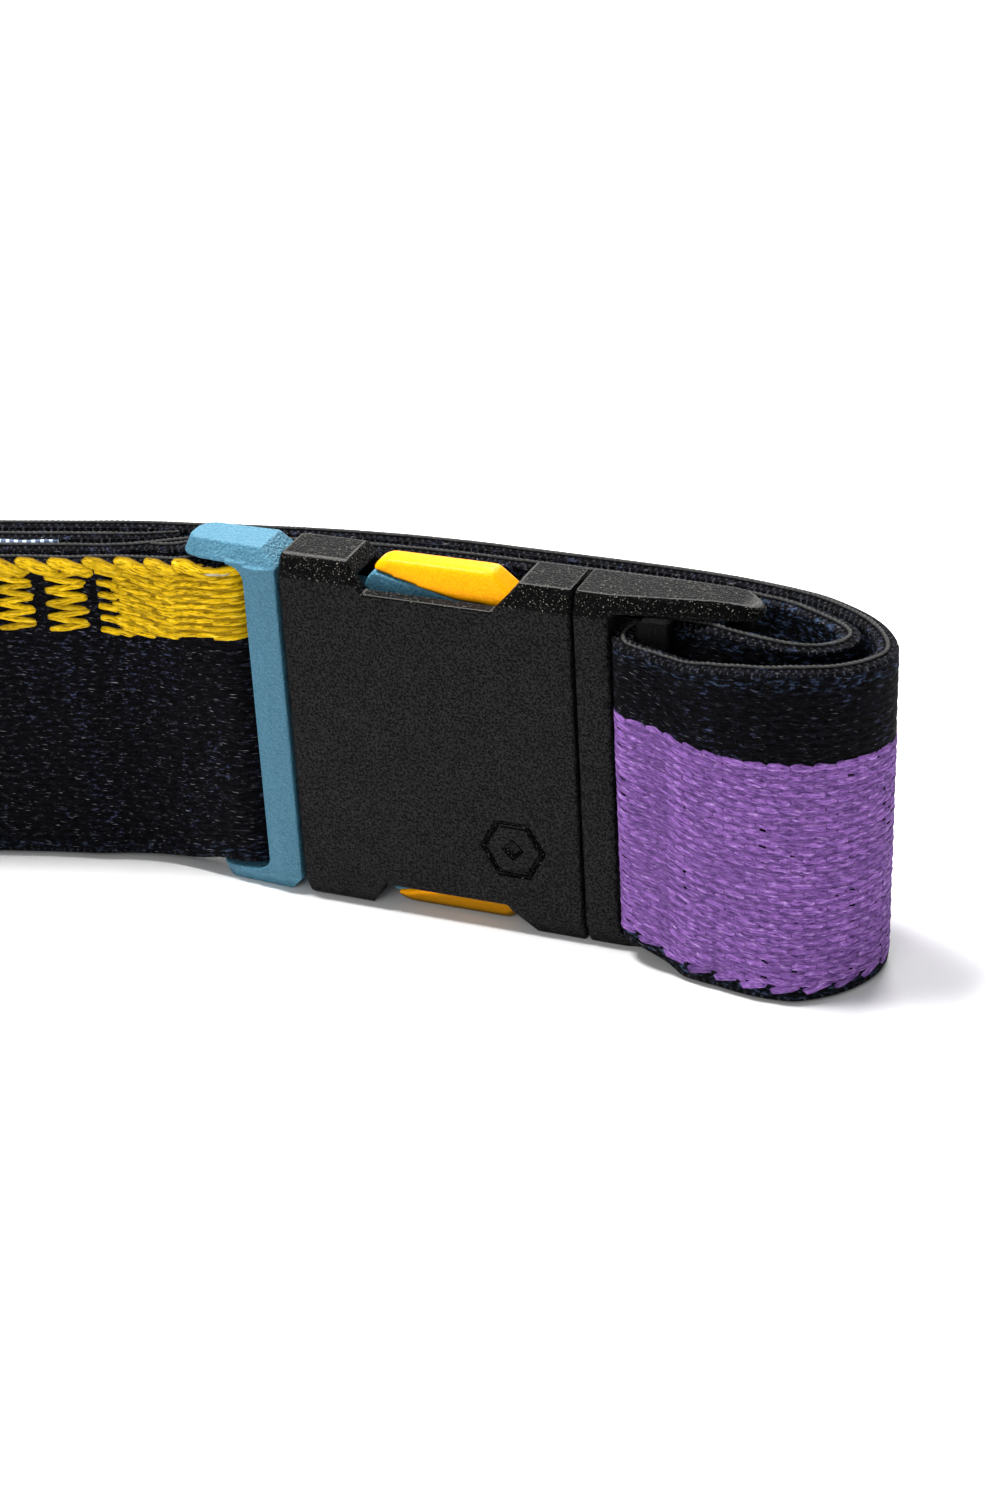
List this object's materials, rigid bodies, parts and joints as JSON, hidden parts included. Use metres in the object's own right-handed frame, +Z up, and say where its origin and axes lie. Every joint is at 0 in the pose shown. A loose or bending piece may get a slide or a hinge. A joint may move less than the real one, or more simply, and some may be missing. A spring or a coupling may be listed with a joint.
{
  "type": "luggage strap",
  "caption": "Stretch webbing luggage strap with a side-release buckle and a ladder adjuster, folded flat and buckled, standing on its long edge.",
  "frame": {"origin": "middle of the folded strap's footprint, on the surface that it stands on", "axes": "+X along the strap towards the adjuster loop, +Z up across the webbing, -Y towards the buckle's front face"},
  "size_m": [0.3254, 0.0382, 0.042],
  "materials": {
    "black_plastic": "fine moulded grain",
    "blue_plastic": "fine moulded grain",
    "yellow_plastic": "satin",
    "webbing": "woven elastic, yellow, purple and navy-black yarns",
    "thread": "polyester thread",
    "label": "satin ribbon"
  },
  "bodies": {
    "adjuster": {"housing": "black_plastic", "end_frame": "black_plastic", "ladder_bar": "black_plastic", "end_bar": "black_plastic", "right_loop": "webbing", "bar_wrap": "webbing", "inner_loop": "webbing", "back_stretch": "webbing", "tail_stretch": "webbing"},
    "male_half": {"male_frame": "blue_plastic", "anchor_bar": "blue_plastic", "centre_guide": "blue_plastic", "anchor_loop": "webbing", "anchor_stitching": "thread", "front_run": "webbing", "front_far_run": "webbing", "left_fold": "webbing", "back_far_run": "webbing", "back_run": "webbing", "tail_run": "webbing", "tail_hem": "webbing", "hem_stitching": "thread", "care_label": "label"},
    "upper_press": {"upper_prong": "blue_plastic", "upper_pad": "yellow_plastic"},
    "lower_press": {"lower_prong": "blue_plastic", "lower_pad": "yellow_plastic"}
  },
  "joints": [
    {"name": "release_slide", "type": "slide", "parent": "adjuster", "child": "male_half", "axis": [-1, 0, 0], "range_m": [0, 0.03], "deforming": ["back_stretch", "tail_stretch", "upper_prong", "upper_pad", "lower_prong", "lower_pad"]},
    {"name": "upper_squeeze", "type": "hinge", "parent": "male_half", "child": "upper_press", "pos_m": [0.09518, 0.00359, 0.0376], "axis": [0, 1, 0], "range_deg": [0, 8], "stiffness_Nm_per_rad": 0.12},
    {"name": "lower_squeeze", "type": "hinge", "parent": "male_half", "child": "lower_press", "pos_m": [0.09518, 0.00359, 0.0044], "axis": [0, -1, 0], "range_deg": [0, 8], "stiffness_Nm_per_rad": 0.12}
  ]
}
